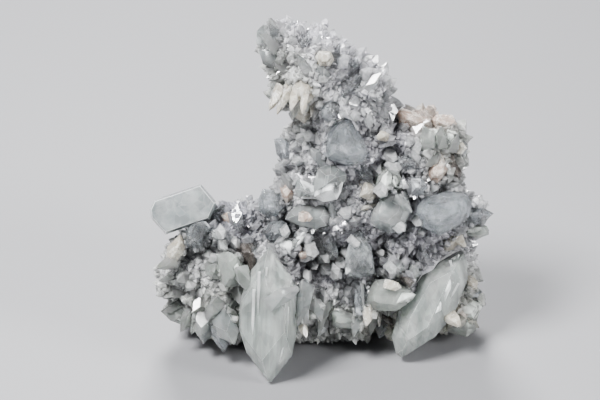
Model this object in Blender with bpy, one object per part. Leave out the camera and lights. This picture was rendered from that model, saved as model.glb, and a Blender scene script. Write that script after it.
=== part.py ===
"""Apophyllite specimen: milky-clear crystals on a rock body coated with smaller ones.

The piece stands on a flat cut under its body. Its show side faces -Y and is looked at from a
little above, so places are given as they look from there: across and up, in millimetres, on a
sheet that leans back through the origin, and how far back (+Y) the place lies.
"""

import math
import random

import bmesh
import bpy
from mathutils import Matrix, Vector

MM = 0.001
GAP = 0.3
BLANK = 300.0
FINEST_CUT = 1e-4

# The show side: how far above level it is looked at, from where, and the middle of the sheet.
LOOK_DOWN = math.radians(25)
EYE_DISTANCE = 800.0
SHEET_MIDDLE = (-5.0, 46.7)
RIGHT = Vector((1, 0, 0))
UP = Vector((0, math.sin(LOOK_DOWN), math.cos(LOOK_DOWN)))
OUT = Vector((0, -math.cos(LOOK_DOWN), math.sin(LOOK_DOWN)))
EYE = RIGHT * SHEET_MIDDLE[0] + UP * SHEET_MIDDLE[1] + OUT * EYE_DISTANCE

# Apophyllite is a square prism. Its four end faces stand over the prism's edges, this steep,
# and each has grown in by up to this share of the crystal's width.
END_FACE_TILT = math.radians(29.5)
END_UNEVENNESS = 0.08

# Rock body: rounded lumps as (centre, half sizes), in millimetres, cut off flat at the floor.
ROCK_LUMPS = {
    "foot": ((0, 6, 6), (20, 12, 8)),
    "left": ((-27, 7, 21), (21, 20, 19)),
    "left_top": ((-25, 9, 33), (18, 14, 12)),
    "behind_front_left": ((-14, 0, 19), (16, 19, 20)),
    "middle": ((8, 10, 18), (26, 20, 20)),
    "right": ((33, 10, 20), (21, 20, 21)),
    "right_top": ((35, 8, 41), (18, 14, 15)),
    "waist": ((10, 8, 49), (24, 15, 19)),
    "shoulder": ((34, 10, 64), (14, 13, 14)),
    "neck": ((8, 8, 66), (17, 13, 16)),
    "tower": ((8, 8, 83), (16, 12, 14)),
    "tower_upper": ((-1, 7, 95), (14, 10, 12)),
    "tower_top": ((-10, 6, 103), (8, 7, 8)),
}
ROCK_ROUGHNESS = 0.07
ROCK_SEED = 11

# Small crystals grown all over the rock. Root is the share of each that is in the rock, splay
# how far it may lean, and the clearances are shares of its width, kept from the named ones.
DRUSE_COUNT = 48
DRUSE_TRIES = 2400
DRUSE_SPACING = 9.5
DRUSE_LENGTH = (7.0, 9.5)
DRUSE_WIDTH = (4.8, 6.6)
DRUSE_BLUNT = 0.7
DRUSE_ROOT = 0.5
DRUSE_SPLAY = 0.45
DRUSE_TWIST = (0, 90)
DRUSE_LOWEST = 2.5
DRUSE_TIP_CLEARANCE = 0.6
DRUSE_SIDE_CLEARANCE = 0.3
DRUSE_SEED = 5

# The same coat's crystals along the outline.
OUTLINE_TIP_NOD = (-10, 10)
OUTLINE_TIP_WIDENING = 1.3
OUTLINE_TIP_BLUNT = 0.8
OUTLINE_PLATE_BEVEL = 32


def seen(across, up, back):
    """The place that looks to be at (across, up) on the sheet and lies this far back."""
    ray = RIGHT * across + UP * up - EYE
    return EYE + ray * ((back - EYE.y) / ray.y)


def heading_vector(heading, nod):
    """A direction on the show side, clockwise from up, and how far it nods to the eye."""
    heading, nod = math.radians(heading), math.radians(nod)
    flat = RIGHT * math.sin(heading) + UP * math.cos(heading)
    return flat * math.cos(nod) + OUT * math.sin(nod)


def crystal_faces(tip, lean, nod, length, width, twist, depth=None, blunt=0.0, ends=1, seed=0):
    """Faces of a square prism with steep end faces, as (outward normal, a point on the face)."""
    depth = depth or width
    uneven = random.Random(seed)
    axis = heading_vector(lean, nod)
    side = axis.cross(OUT).normalized()
    turn = Matrix.Rotation(math.radians(twist), 3, axis)
    side, front = turn @ side, turn @ side.cross(axis)
    middle = tip - axis * length / 2
    faces = [(side, middle + side * width / 2), (-side, middle - side * width / 2)]
    faces += [(front, middle + front * depth / 2), (-front, middle - front * depth / 2)]
    for end in (axis, -axis)[:ends]:
        apex = middle + end * length / 2
        for s, f in ((1, 1), (-1, 1), (-1, -1), (1, -1)):
            over_edge = (side * s + front * f) / math.sqrt(2)
            normal = over_edge * math.cos(END_FACE_TILT) + end * math.sin(END_FACE_TILT)
            faces.append((normal, apex - normal * width * uneven.uniform(0, END_UNEVENNESS)))
        if blunt:
            faces.append((end, apex - end * blunt))
    if ends == 1:
        faces.append((-axis, tip - axis * length))
    return faces


def outline_faces(rim, back, front=4.0, rear=8.0, bevel=28.0, taper=0.0, face=(0, 0), cuts=()):
    """Faces of a crystal seen as the outline rim, lying this far back.

    front and rear are how far it stands out and reaches in from its rim, bevel and taper how
    much its edge faces lean in on each side, and face the way its broad face leans. Each cut
    is one more face: (heading, nod, (across, up), out from the rim).
    """
    middle = Vector((sum(a for a, _ in rim), sum(u for _, u in rim))) / len(rim)
    centre = seen(*middle, back)
    scale = 1 - centre.dot(OUT) / EYE_DISTANCE

    def at(across, up, out=0.0):
        offset = (Vector((across, up)) - middle) * scale
        return centre + RIGHT * offset.x + UP * offset.y + OUT * out

    faces = []
    for (a0, u0), (a1, u1) in zip(rim, rim[1:] + rim[:1]):
        edge = Vector((a1 - a0, u1 - u0)).normalized()
        outward = Vector((edge.y, -edge.x))
        if outward.dot(Vector((a0, u0)) - middle) < 0:
            outward = -outward
        flat = RIGHT * outward.x + UP * outward.y
        for angle, way in ((math.radians(bevel), OUT), (math.radians(taper), -OUT)):
            faces.append((flat * math.cos(angle) + way * math.sin(angle), at(a0, u0)))
    faces.append((heading_vector(face[0], 90 - face[1]), at(*middle, front)))
    faces.append((-OUT, at(*middle, -rear)))
    for heading, nod, (across, up), out in cuts:
        faces.append((heading_vector(heading, nod), at(across, up, out)))
    return faces


# Finishes: colour, roughness, and how much light passes through.
FINISHES = {
    "milky": ((0.62, 0.66, 0.66), 0.12, 0.75),
    "blue_grey": ((0.45, 0.50, 0.55), 0.10, 0.8),
    "pale_green": ((0.55, 0.60, 0.55), 0.15, 0.7),
    "cream": ((0.66, 0.60, 0.48), 0.3, 0.35),
    "peach": ((0.62, 0.44, 0.34), 0.35, 0.3),
    "smoky": ((0.24, 0.19, 0.15), 0.12, 0.7),
    "druse": ((0.30, 0.30, 0.33), 0.25, 0.4),
}

# Upright and hanging crystals: place of the tip, lean, nod, length, width, twist, finish.
PRISMS = {
    "pyramid_front": ((16, 20.3, -12), 0, 22, 12, 5.6, 0, "blue_grey"),
    "pendant_front": ((0.9, -0.1, -10), 198, 8, 17, 5.6, 20, "milky"),
    "bright_drop_front": ((-4.4, 3.3, -23), 182, 18, 15, 4.6, 15, "milky"),
    "bright_side_front": ((2.8, 9.2, -17), 100, 30, 10, 4.8, 35, "pale_green"),
    "low_drop_right": ((21.2, 0.0, -8), 200, 5, 11, 4.4, 30, "blue_grey"),
    "spear_left": ((-52.2, 9.8, -2), -82, 8, 18, 5.6, 20, "pale_green"),
    "drop_left_outer": ((-41.4, 1.3, -10), 200, 12, 13, 5.2, 25, "pale_green"),
    "drop_left_middle": ((-37.3, -1.8, -15), 190, 14, 16, 6.4, 15, "milky"),
    "drop_left_inner": ((-30.4, -4.9, -19), 176, 10, 17, 5.6, 30, "blue_grey"),
    "drop_left_glassy": ((-26.8, -2.2, -23), 158, 28, 16, 6.6, 10, "milky"),
    "rim_tip_right": ((60.0, 42.3, -1), 82, 0, 15, 4.6, 25, "blue_grey"),
    "tower_spike": ((-15.0, 108.0, 5), -12, 5, 12, 4.2, 20, "milky"),
    "back_large": ((6, 60, 39), 6, -52, 24, 10.0, 20, "milky"),
    "back_left": ((-36, 40, 42), -25, -48, 20, 8.0, 35, "pale_green"),
    "back_right": ((36, 52, 42), 30, -50, 21, 9.0, 10, "blue_grey"),
}


def prism_crystals():
    """The crystals of the PRISMS table."""
    for seed, (name, row) in enumerate(PRISMS.items()):
        place, lean, nod, length, width, twist, finish = row
        faces = crystal_faces(seen(*place), lean, nod, length, width, twist, seed=seed)
        yield name, [faces], finish


def front_left_crystal():
    """The largest crystal: pointed at both ends, its lower tip down to the floor."""
    low, high = seen(-15.2, -15.8, -30.9), seen(-15.5, 32.5, -15.5)
    axis = (high - low).normalized()
    lean = math.degrees(math.atan2(axis.dot(RIGHT), axis.dot(UP)))
    nod = math.degrees(math.asin(axis.dot(OUT)))
    length = (high - low).length
    faces = crystal_faces(high, lean, nod, length, 15.2, -18, depth=14.0, blunt=0.7, ends=2)
    return [("crystal_front_left", [faces], "milky")]


def front_crystals():
    """The large leaning crystal on the right, and the flat ones between the two large ones."""
    leaning = [(49, 30.7), (35, 22.2), (27.5, 9), (25.5, 1), (27, -4.5), (29, -6)]
    leaning += [(40, 1), (46, 8), (51, 20), (50.5, 27)]
    ridge = [(82, 42, (46.4, 18), 6.5)]
    yield (
        "crystal_front_right",
        [outline_faces(leaning, -9.5, 6.5, 8, 34, 12, (-60, 8), ridge)],
        "milky",
    )
    shell = [(5.5, 9.5), (10, 10), (13, 8.5), (16.2, 4.8), (13, 3.8), (8, 4), (5.5, 5)]
    yield "shell_front", [outline_faces(shell, -13, 2, 9, 40, 5)], "pale_green"
    plate = [(17.5, 15.5), (20, 20.3), (25, 20.2), (34.5, 15.5), (33, 13.3), (27, 9.6)]
    plate += [(20, 9.9), (17.2, 12)]
    yield "plate_front", [outline_faces(plate, -14, 3, 10, 35, 10, (20, 10))], "pale_green"


def left_crystals():
    """The smooth block at the top left and the crystals below and beside it."""
    block = [(-53.5, 46.8), (-38, 52), (-32.7, 45.8), (-35, 40.2), (-49.8, 35.2)]
    block += [(-54.6, 40.6), (-55, 43.6)]
    yield "block_left", [outline_faces(block, 2, 5, 7, 8, 4, (0, 6))], "milky"
    blue = [(-40, 40.3), (-36, 40), (-34.3, 38), (-34.8, 34), (-38, 30), (-43, 30.5)]
    blue += [(-43.4, 34), (-42, 38)]
    yield "blue_grey_left", [outline_faces(blue, -5, 4, 10, 30, 5, (20, 15))], "blue_grey"
    cream = [(-45, 35.3), (-43, 32.5), (-43.8, 29), (-46.3, 25.8), (-49.8, 25.5)]
    cream += [(-49.3, 31)]
    yield "cream_left", [outline_faces(cream, -8, 3.5, 12, 30, 5)], "cream"
    mirror = [(-34.5, 37), (-32.3, 37.2), (-29, 34), (-30.2, 31.5), (-35, 34)]
    yield "mirror_left", [outline_faces(mirror, -6, 2, 10, 20, 0, (25, 12))], "milky"
    petal = [(-37, 25.5), (-36.5, 22), (-34.5, 20.3), (-31.5, 20.3), (-30.5, 26)]
    petal += [(-33.5, 28)]
    broad = [(-33, 28.5), (-29, 29.6), (-25.5, 28), (-21.5, 22.4), (-26, 18), (-30.5, 17.2)]
    yield (
        "fan_left",
        [
            outline_faces(petal, -13, 3, 12, 35, 5, (-50, 14)),
            outline_faces(broad, -15, 4, 12, 35, 5, (60, 8)),
        ],
        "pale_green",
    )
    wedge = [(-26, 28.5), (-23, 29.4), (-20.3, 28.8), (-20, 25), (-21.3, 22), (-24, 25.5)]
    yield "smoky_wedge_left", [outline_faces(wedge, -12, 2.5, 8, 30, 5)], "smoky"
    grey = [(-18, 36.5), (-15, 39.5), (-11, 40), (-7.5, 37.5), (-11, 34), (-14, 31.5)]
    yield "grey_left_middle", [outline_faces(grey, -5, 3, 9, 35, 5, (0, 12))], "blue_grey"


def middle_crystals():
    """The teardrop and the smaller crystals around it."""
    tear = [(15, 36.7), (17.5, 33.3), (19.3, 30.3), (20.3, 25.5), (19.8, 21.6)]
    tear += [(14.5, 20.6), (10, 21), (9.8, 25), (10.8, 31), (12.8, 35.5)]
    yield (
        "teardrop_centre",
        [outline_faces(tear, -10, 5, 10, 36, 5, (-10, 10), [(55, 55, (17, 30), 4)])],
        "blue_grey",
    )
    clear = [(23.7, 25.8), (27, 26.6), (30, 27.7), (30.8, 24), (28.3, 20.7), (24.7, 21.3)]
    beside = [(30.2, 22.5), (32, 26.3), (34.2, 25), (35, 22.3), (33.5, 20), (30.6, 20.2)]
    yield (
        "clear_pair_right",
        [outline_faces(clear, -10, 3, 9, 32, -8), outline_faces(beside, -10, 2, 9, 30, -8)],
        "milky",
    )
    brown = [(28, 20.4), (30, 22), (33.6, 20), (31.5, 17.4)]
    yield "smoky_flat_right", [outline_faces(brown, -13, 1.5, 6, 30, 5)], "smoky"
    peach = [(-6, 28.3), (-5, 29.6), (-0.5, 30.2), (0.3, 29.2), (-1, 28), (-4.5, 26.9)]
    yield "peach_blade_centre", [outline_faces(peach, -12, 1.5, 8, 35, 0)], "peach"
    lower = [(-13, 31.5), (-9, 33.5), (-6.5, 32), (-7, 27), (-9.3, 25.8)]
    upper = [(-7.6, 33), (-3, 37.3), (-2.3, 34.5), (-2.7, 31), (-7, 30)]
    yield (
        "pale_pair_centre",
        [outline_faces(lower, -12, 3, 10, 30, -6), outline_faces(upper, -10, 3, 9, 30, -6)],
        "milky",
    )
    milky = [(-10, 40.3), (-8.5, 43.3), (-5, 45), (3.5, 44.6), (6.2, 42), (4, 38), (0, 37)]
    milky += [(-5, 38)]
    yield "milky_centre", [outline_faces(milky, -7, 5, 9, 38, 5, (10, 8))], "milky"


def right_crystals():
    """The gem-like crystal, the large grey one, and those along the right rim."""
    gem = [(21.5, 46.8), (25, 49), (30, 50), (32.3, 44), (29.5, 37), (25, 35.5)]
    gem += [(20, 37.5), (18.5, 39.5), (19.2, 43)]
    facets = [(-30, 52, (26, 41.5), 7), (125, 58, (26, 41.5), 7)]
    yield (
        "gem_right",
        [outline_faces(gem, -9, 8, 9, 22, 12, (0, 0), facets)],
        "milky",
    )
    grey = [(34, 44.5), (33.3, 41), (35, 37), (41.5, 34.7), (47, 37.6), (52, 41.6)]
    grey += [(52.2, 46), (50.5, 49), (44, 49.6), (36, 47.6)]
    lower_face = [(180, 55, (42, 39.5), 6.5), (35, 60, (46, 45), 6.5)]
    yield (
        "grey_right",
        [outline_faces(grey, -7, 6.5, 9, 26, 12, (-20, 6), lower_face)],
        "blue_grey",
    )
    plate = [(55.5, 39), (57.3, 38), (58.1, 36.5), (58, 35.2), (54.5, 33.9), (50, 35)]
    plate += [(49, 37.5), (52, 39)]
    yield "plate_rim_right", [outline_faces(plate, -1, 2, 8, 30, 0)], "pale_green"
    beige = [(41.5, 31.5), (44, 34.8), (48.5, 38), (50, 36.5), (49, 33), (46.5, 30.2)]
    beige += [(43, 29.3)]
    yield "beige_right", [outline_faces(beige, -4, 3, 10, 35, 5)], "cream"
    flank = [(49.5, 21.3), (52.4, 21.6), (54.4, 19.5), (54, 17), (51, 16), (48.5, 18)]
    yield "cream_flank_right", [outline_faces(flank, -1, 3, 9, 32, 5)], "cream"
    clear = [(51, 17), (54.5, 17.2), (56.5, 15.5), (57, 13.6), (54.5, 12.6), (51, 14)]
    yield "clear_flank_right", [outline_faces(clear, 1, 2.5, 9, 30, 0)], "blue_grey"
    pale = [(45.5, 14), (50, 15), (56.4, 12.8), (56.2, 11), (53.8, 6.2), (47, 6.5)]
    low = [(43, 3.3), (46, 2), (50.6, 1), (53.8, 3.4), (53.6, 5), (50, 9), (44.5, 9.5)]
    yield (
        "low_cluster_right",
        [outline_faces(pale, -2, 4, 10, 34, 5), outline_faces(low, -5, 3, 9, 34, 5)],
        "pale_green",
    )


def waist_crystals():
    """The milky crystal, the glassy one above it, and the leaves and prisms beside them."""
    milky = [(0, 54), (1, 57.3), (5, 58.7), (8.5, 57.8), (10.6, 55), (9.5, 49.5)]
    milky += [(8, 46.5), (3, 45.5), (-1, 47)]
    beside = [(-6.8, 50), (-5.8, 53.8), (-3, 52.6), (1, 50), (0, 46.5), (-5, 46.6)]
    yield (
        "milky_waist",
        [
            outline_faces(milky, -8, 6, 9, 30, 5, (30, 8)),
            outline_faces(beside, -8, 3.5, 8, 32, 5),
        ],
        "milky",
    )
    glassy = [(5, 71), (9.5, 74.4), (12, 73), (16, 67), (18, 62), (15, 58.7)]
    glassy += [(11, 57.4), (6, 59.5), (3.5, 61), (3.6, 66)]
    facets = [(145, 48, (13, 62), 5.5), (10, 62, (9, 69), 6)]
    yield (
        "glassy_waist",
        [outline_faces(glassy, -6, 6.5, 9, 26, 8, (0, 0), facets)],
        "blue_grey",
    )
    clear = [(-13.7, 67), (-11, 68), (-8, 66.5), (-7.8, 60.5), (-10.3, 59.4), (-12.8, 61.8)]
    yield "clear_edge_waist", [outline_faces(clear, 4, 3, 8, 35, 0)], "blue_grey"
    left = [(-18.9, 47.2), (-17.5, 50.5), (-14, 50.1), (-11.8, 48.6), (-10, 45.3)]
    left += [(-11.5, 41), (-15, 40), (-18.8, 43)]
    yield "glassy_shoulder_left", [outline_faces(left, 0, 4, 10, 28, 5, (0, 10))], "blue_grey"
    brown = [(-11.8, 51.5), (-8, 52.3), (-6.8, 50.5), (-6.6, 47.5), (-9.5, 45.4), (-11, 47.8)]
    yield "brown_waist", [outline_faces(brown, -1, 3, 9, 30, 0)], "peach"
    bluish = [(2.2, 74.5), (2, 77.5), (3.5, 80), (7, 80.2), (8.5, 77), (7.5, 73.8), (5, 72)]
    yield "bluish_tower", [outline_faces(bluish, -4, 3.5, 8, 38, 5)], "blue_grey"
    leaf = [(21.4, 55.4), (24.6, 57.5), (25.7, 55), (25, 50), (22, 48.6), (19.8, 50)]
    leaf_right = [(26.2, 55.5), (27.3, 57.5), (29, 54.5), (30, 51.5), (29, 49.2), (25.4, 49.6)]
    yield (
        "leaf_pair",
        [
            outline_faces(leaf, -8, 3, 9, 32, -8, (-40, 12)),
            outline_faces(leaf_right, -7, 3, 9, 32, -8, (40, 12)),
        ],
        "pale_green",
    )
    prism = [(30.2, 53), (32, 54.7), (36, 54.2), (37.7, 51), (36, 48), (31.5, 48.2)]
    yield "prism_waist_right", [outline_faces(prism, -5, 4, 9, 28, 5, (0, 14))], "blue_grey"
    lens = [(24.5, 59.5), (27, 61.6), (32, 61.6), (35.5, 59), (35, 56.8), (30, 56), (26, 57)]
    yield "lens_shoulder", [outline_faces(lens, -4, 3, 9, 40, 5)], "blue_grey"
    cream = [(14.8, 48), (16.5, 53), (20.5, 51.8), (21.8, 48.6), (18.5, 46.2)]
    yield "cream_waist", [outline_faces(cream, -7, 3, 8, 34, 5)], "cream"
    oval = [(20.4, 68), (22, 69.9), (24.6, 69.2), (25.9, 67.5), (23.6, 66.2), (21, 66.6)]
    yield "cream_oval", [outline_faces(oval, -4, 2, 7, 38, 0)], "cream"


def shoulder_crystals():
    """The right shoulder: peach crystals on its top, pale and smoky ones on its side."""
    top = [(27, 76), (29.5, 77.7), (33, 76.4), (37.4, 75), (38, 73.5), (34, 70.5), (28.5, 71.5)]
    yield "peach_shoulder_left", [outline_faces(top, 5, 3, 9, 34, 5, (0, 14))], "peach"
    top = [(38.6, 73.5), (41, 75.6), (45.7, 75.4), (47.4, 72), (45, 69.8), (39.5, 70.6)]
    yield "peach_shoulder_right", [outline_faces(top, 5, 3, 9, 34, 5, (10, 14))], "peach"
    upper = [(34, 66), (37.5, 70.6), (41.5, 70.6), (43, 66), (40, 62.4), (35, 62.6)]
    outer = [(42, 67), (44.5, 70.8), (48.6, 69.4), (49.2, 66.5), (47, 63.4), (43, 63)]
    yield (
        "pale_shoulder",
        [outline_faces(upper, 0, 4, 9, 38, 5), outline_faces(outer, 1, 4, 9, 36, 5)],
        "pale_green",
    )
    tip = [(46, 65.4), (49, 67), (51.5, 65), (50.2, 61.2), (46.6, 60.8), (45, 63)]
    yield "round_tip_shoulder", [outline_faces(tip, 5, 3, 9, 34, 0)], "milky"
    brown = [(36.8, 57), (39, 60.4), (43.6, 60), (45, 55.4), (41, 52), (38, 53.4)]
    yield "brown_shoulder", [outline_faces(brown, -2, 3, 9, 34, 5)], "peach"
    smoky = [(44.4, 59.8), (47, 59.2), (49, 56), (48.2, 53.4), (44.2, 54.2)]
    yield "smoky_shoulder", [outline_faces(smoky, 1, 2.5, 10, 28, 0)], "smoky"


def tower_crystals():
    """The narrow tower at the top left: cream-white crystals and one flat hexagon."""
    hexagon = [(0, 94.5), (1.2, 96.4), (5.2, 96.4), (6.4, 93.4), (5, 91.4), (1.5, 91.5)]
    yield "cream_hexagon", [outline_faces(hexagon, -3, 2.5, 8, 25, 0, (0, 6))], "cream"
    outer = [(-17.6, 78.7), (-15, 82), (-11, 82), (-9, 79), (-12, 77.4)]
    high = [(-14.6, 84.8), (-13.4, 88), (-8.5, 88), (-6, 84), (-9, 80.5), (-13.5, 81.5)]
    inner = [(-8.4, 84), (-5, 87.4), (-0.5, 86), (0.6, 82), (-3, 78), (-8, 79)]
    low = [(-8.6, 77.5), (-6, 80), (-1, 78.6), (-0.4, 75), (-3.4, 72), (-7, 74.4)]
    cluster = ((outer, 3), (high, 0), (inner, -3), (low, -1))
    yield (
        "cream_cluster_tower",
        [outline_faces(rim, back, 3.5, 11, 36, 5) for rim, back in cluster],
        "cream",
    )
    top = [(-19.4, 103), (-17.4, 105.4), (-14, 104), (-13.6, 99.6), (-16, 97), (-19.6, 98.6)]
    side = [(-18.8, 96.6), (-16, 98.4), (-11.6, 97.6), (-10.6, 93), (-14, 90.4), (-17.4, 92)]
    yield (
        "pale_pair_tower",
        [outline_faces(top, 3, 3, 9, 34, 5), outline_faces(side, 1, 3.5, 9, 34, 5)],
        "milky",
    )


def all_crystals():
    """Every crystal of its own, larger ones first: (name, overlapping solids' faces, finish)."""
    found = front_left_crystal()
    for group in (
        front_crystals,
        waist_crystals,
        right_crystals,
        left_crystals,
        middle_crystals,
        shoulder_crystals,
        tower_crystals,
        prism_crystals,
    ):
        found += list(group())
    return found


# Small crystals along the outline, part of the rock's coat: tip, lean, length, width.
OUTLINE_TIPS = [
    ((-20.4, 102.6, 6), -60, 9, 4.0),
    ((-19.6, 105.2, 6), -40, 9, 4.0),
    ((-12.2, 106.0, 6), 10, 8, 4.4),
    ((-7.8, 106.3, 7), 15, 9, 4.4),
    ((-4.4, 105.0, 7), 20, 9, 4.6),
    ((-0.8, 102.6, 7), 25, 9, 4.2),
    ((2.8, 101.2, 7), 15, 9, 4.4),
    ((6.2, 101.6, 7), 20, 10, 4.8),
    ((9.8, 99.4, 7), 40, 9, 4.6),
    ((12.4, 97.4, 7), 40, 9, 4.6),
    ((15.6, 95.8, 7), 35, 10, 4.8),
    ((18.4, 93.6, 6), 30, 9, 4.0),
    ((20.4, 92.2, 7), 45, 9, 4.4),
    ((24.6, 87.4, 7), 50, 10, 4.8),
    ((25.8, 84.2, 7), 75, 9, 4.8),
    ((27.4, 79.6, 7), 60, 10, 5.0),
    ((27.6, 76.4, 9), 40, 11, 5.6),
    ((-17.6, 91.4, 6), -80, 8, 4.2),
    ((-13.6, 88.4, 6), -60, 8, 4.2),
    ((-12.6, 77.6, 7), -120, 9, 4.4),
    ((-8.4, 71.8, 6), -60, 9, 5.2),
    ((-10.8, 69.0, 6), -90, 9, 5.0),
    ((-11.2, 58.2, 6), -95, 9, 4.0),
    ((-10.2, 55.6, 6), -70, 8, 4.4),
    ((-30.2, 45.4, 12), -5, 9, 4.6),
    ((-26.4, 44.4, 12), 5, 8, 4.6),
    ((-21.0, 46.2, 12), 0, 9, 5.0),
    ((-50.8, 28.6, 1), -80, 9, 4.0),
    ((-49.4, 14.4, 1), -75, 10, 4.6),
    ((-45.8, 6.2, -4), -110, 9, 4.6),
    ((-33.8, 0.2, -14), 200, 8, 4.4),
    ((8.2, 1.4, -6), 185, 8, 5.0),
    ((17.6, 1.2, -5), 170, 8, 4.4),
    ((43.0, 2.2, 2), 150, 9, 4.6),
    ((51.4, 30.8, 4), 80, 9, 3.6),
    ((48.2, 53.6, 6), 80, 9, 4.6),
    ((50.4, 62.4, 8), 85, 8, 4.4),
    ((49.2, 70.0, 9), 60, 9, 4.6),
    ((37.2, 76.0, 11), 15, 8, 4.6),
    ((12.4, 19.4, -13), -10, 11, 5.0),
    ((12.7, 0.0, -9), 205, 10, 4.6),
    ((-53.8, 24.2, -2), -80, 16, 5.0),
    ((22.6, 91.2, 3), 28, 12, 4.2),
]

# Flat ones of the same coat: outline, how far back, how far each stands out and reaches in.
OUTLINE_PLATES = [
    ([(-52.2, 33.3), (-50, 34.8), (-47, 33.8), (-47.4, 30.5), (-50.6, 30.3)], -2, 2, 12),
    ([(-27, 41), (-24.8, 41.2), (-23.3, 40), (-25.3, 37.7), (-27, 39.3)], -1, 2, 10),
    ([(-53, 20.3), (-51, 20.8), (-47, 18), (-47.3, 15), (-51, 15.3)], -4, 2, 9),
    ([(25.2, 31.8), (26.5, 33.8), (28.8, 33.6), (30, 31.8), (29.4, 29.6), (26.6, 29.2)], -7, 2, 7),
    ([(33.4, 38), (34.3, 37.2), (31, 31.7), (29.8, 31.8)], -9, 1, 8),
    ([(52.3, 47), (54, 47.4), (56, 46), (56.3, 44.2), (54, 42), (50, 43.5)], 2, 2, 8),
    ([(44, 52.8), (49, 51.4), (47.6, 49.4), (43, 50)], 0, 1.5, 9),
]


def inside(point, faces, margin):
    """Whether a point lies within a convex solid, or less than margin outside it."""
    return all((point - on_face).dot(normal) < margin for normal, on_face in faces)


def cut_from_blank(faces, grow=0.0):
    """A blank cube cut down to the solid between all the faces, each moved out by grow."""
    solid = bmesh.new()
    centre = sum((point for _, point in faces), Vector()) / len(faces)
    bmesh.ops.create_cube(solid, size=BLANK, matrix=Matrix.Translation(centre))
    for normal, point in faces:
        bmesh.ops.bisect_plane(
            solid,
            geom=solid.verts[:] + solid.edges[:] + solid.faces[:],
            dist=FINEST_CUT,
            plane_co=point + normal * grow,
            plane_no=normal,
            clear_outer=True,
        )
        open_edges = [edge for edge in solid.edges if edge.is_boundary]
        if open_edges:
            bmesh.ops.holes_fill(solid, edges=open_edges, sides=0)
    bmesh.ops.recalc_face_normals(solid, faces=solid.faces)
    return solid


def make_finish(name):
    """A clear or clouded crystal, or rock."""
    colour, roughness, clearness = FINISHES[name]
    material = bpy.data.materials.new(name)
    material.use_nodes = True
    shader = material.node_tree.nodes["Principled BSDF"]
    shader.inputs["Base Color"].default_value = (*colour, 1)
    shader.inputs["Roughness"].default_value = roughness
    shader.inputs["Metallic"].default_value = 0.0
    shader.inputs["Transmission Weight"].default_value = clearness
    shader.inputs["IOR"].default_value = 1.535
    material.diffuse_color = (*colour, 1)
    return material


def add_solid(name, solid, middle):
    """An object of this solid, in metres, with its origin at middle."""
    bmesh.ops.translate(solid, verts=solid.verts, vec=-middle)
    bmesh.ops.scale(solid, verts=solid.verts, vec=(MM, MM, MM))
    mesh = bpy.data.meshes.new(name)
    solid.to_mesh(mesh)
    solid.free()
    piece = bpy.data.objects.new(name, mesh)
    piece.location = middle * MM
    bpy.context.scene.collection.objects.link(piece)
    return piece


def boolean(piece, others, operation):
    """Joins the others to the piece, or cuts them from it, and removes them."""
    if not others:
        return
    group = bpy.data.collections.new(operation.lower())
    for other in others:
        group.objects.link(other)
    bpy.context.view_layer.update()
    modifier = piece.modifiers.new(operation.lower(), "BOOLEAN")
    modifier.operation = operation
    modifier.operand_type = "COLLECTION"
    modifier.collection = group
    modifier.solver = "EXACT"
    graph = bpy.context.evaluated_depsgraph_get()
    worked = bpy.data.meshes.new_from_object(piece.evaluated_get(graph))
    piece.modifiers.clear()
    piece.data = worked
    for other in others:
        bpy.data.objects.remove(other)
    bpy.data.collections.remove(group)


def islands(solid):
    """The faces of each separate body of a bmesh."""
    waiting, found = set(solid.faces), []
    while waiting:
        body, edge_of_body = set(), [waiting.pop()]
        while edge_of_body:
            face = edge_of_body.pop()
            body.add(face)
            for edge in face.edges:
                near = [other for other in edge.link_faces if other in waiting]
                waiting.difference_update(near)
                edge_of_body += near
        found.append(body)
    return found


def keep_largest_body(piece):
    """Drops the crumbs that a cut has parted from the piece."""
    solid = bmesh.new()
    solid.from_mesh(piece.data)
    bodies = sorted(islands(solid), key=lambda body: sum(face.calc_area() for face in body))
    crumbs = [face for body in bodies[:-1] for face in body]
    if crumbs:
        bmesh.ops.delete(solid, geom=crumbs, context="FACES")
        solid.to_mesh(piece.data)
    solid.free()


def touches(faces, others):
    """Whether two solids' middles lie near enough for them to meet."""
    middle = sum((point for _, point in faces), Vector()) / len(faces)
    other = sum((point for _, point in others), Vector()) / len(others)
    reach = max((point - middle).length for _, point in faces)
    other_reach = max((point - other).length for _, point in others)
    return (middle - other).length < reach + other_reach + GAP


def grow_crystals(finishes):
    """Each named crystal, cut back where a larger one already stands."""
    grown = []
    for name, solids, finish in all_crystals():
        middle = sum((point for _, point in solids[0]), Vector()) / len(solids[0])
        piece = add_solid(name, cut_from_blank(solids[0]), middle)
        more = [add_solid("joined", cut_from_blank(faces), middle) for faces in solids[1:]]
        boolean(piece, more, "UNION")
        near = [old for old in grown if any(touches(faces, old) for faces in solids)]
        cutters = [add_solid("cutter", cut_from_blank(old, GAP), middle) for old in near]
        boolean(piece, cutters, "DIFFERENCE")
        keep_largest_body(piece)
        piece.data.materials.clear()
        piece.data.materials.append(finishes[finish])
        grown += solids
    return grown


def rock_lump(name, centre, sizes, rough):
    """One rounded, rough lump of the rock, cut off flat at the floor."""
    lump = bmesh.new()
    bmesh.ops.create_icosphere(lump, subdivisions=2, radius=1.0)
    for vert in lump.verts:
        reach = 1 + rough.uniform(-ROCK_ROUGHNESS, ROCK_ROUGHNESS)
        vert.co = Vector(centre) + Vector(s * c * reach for s, c in zip(sizes, vert.co))
    bmesh.ops.bisect_plane(
        lump,
        geom=lump.verts[:] + lump.edges[:] + lump.faces[:],
        dist=FINEST_CUT,
        plane_co=(0, 0, 0),
        plane_no=(0, 0, -1),
        clear_outer=True,
    )
    open_edges = [edge for edge in lump.edges if edge.is_boundary]
    if open_edges:
        bmesh.ops.holes_fill(lump, edges=open_edges, sides=0)
    bmesh.ops.recalc_face_normals(lump, faces=lump.faces)
    return add_solid(name, lump, Vector((0, 0, 0)))


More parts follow.
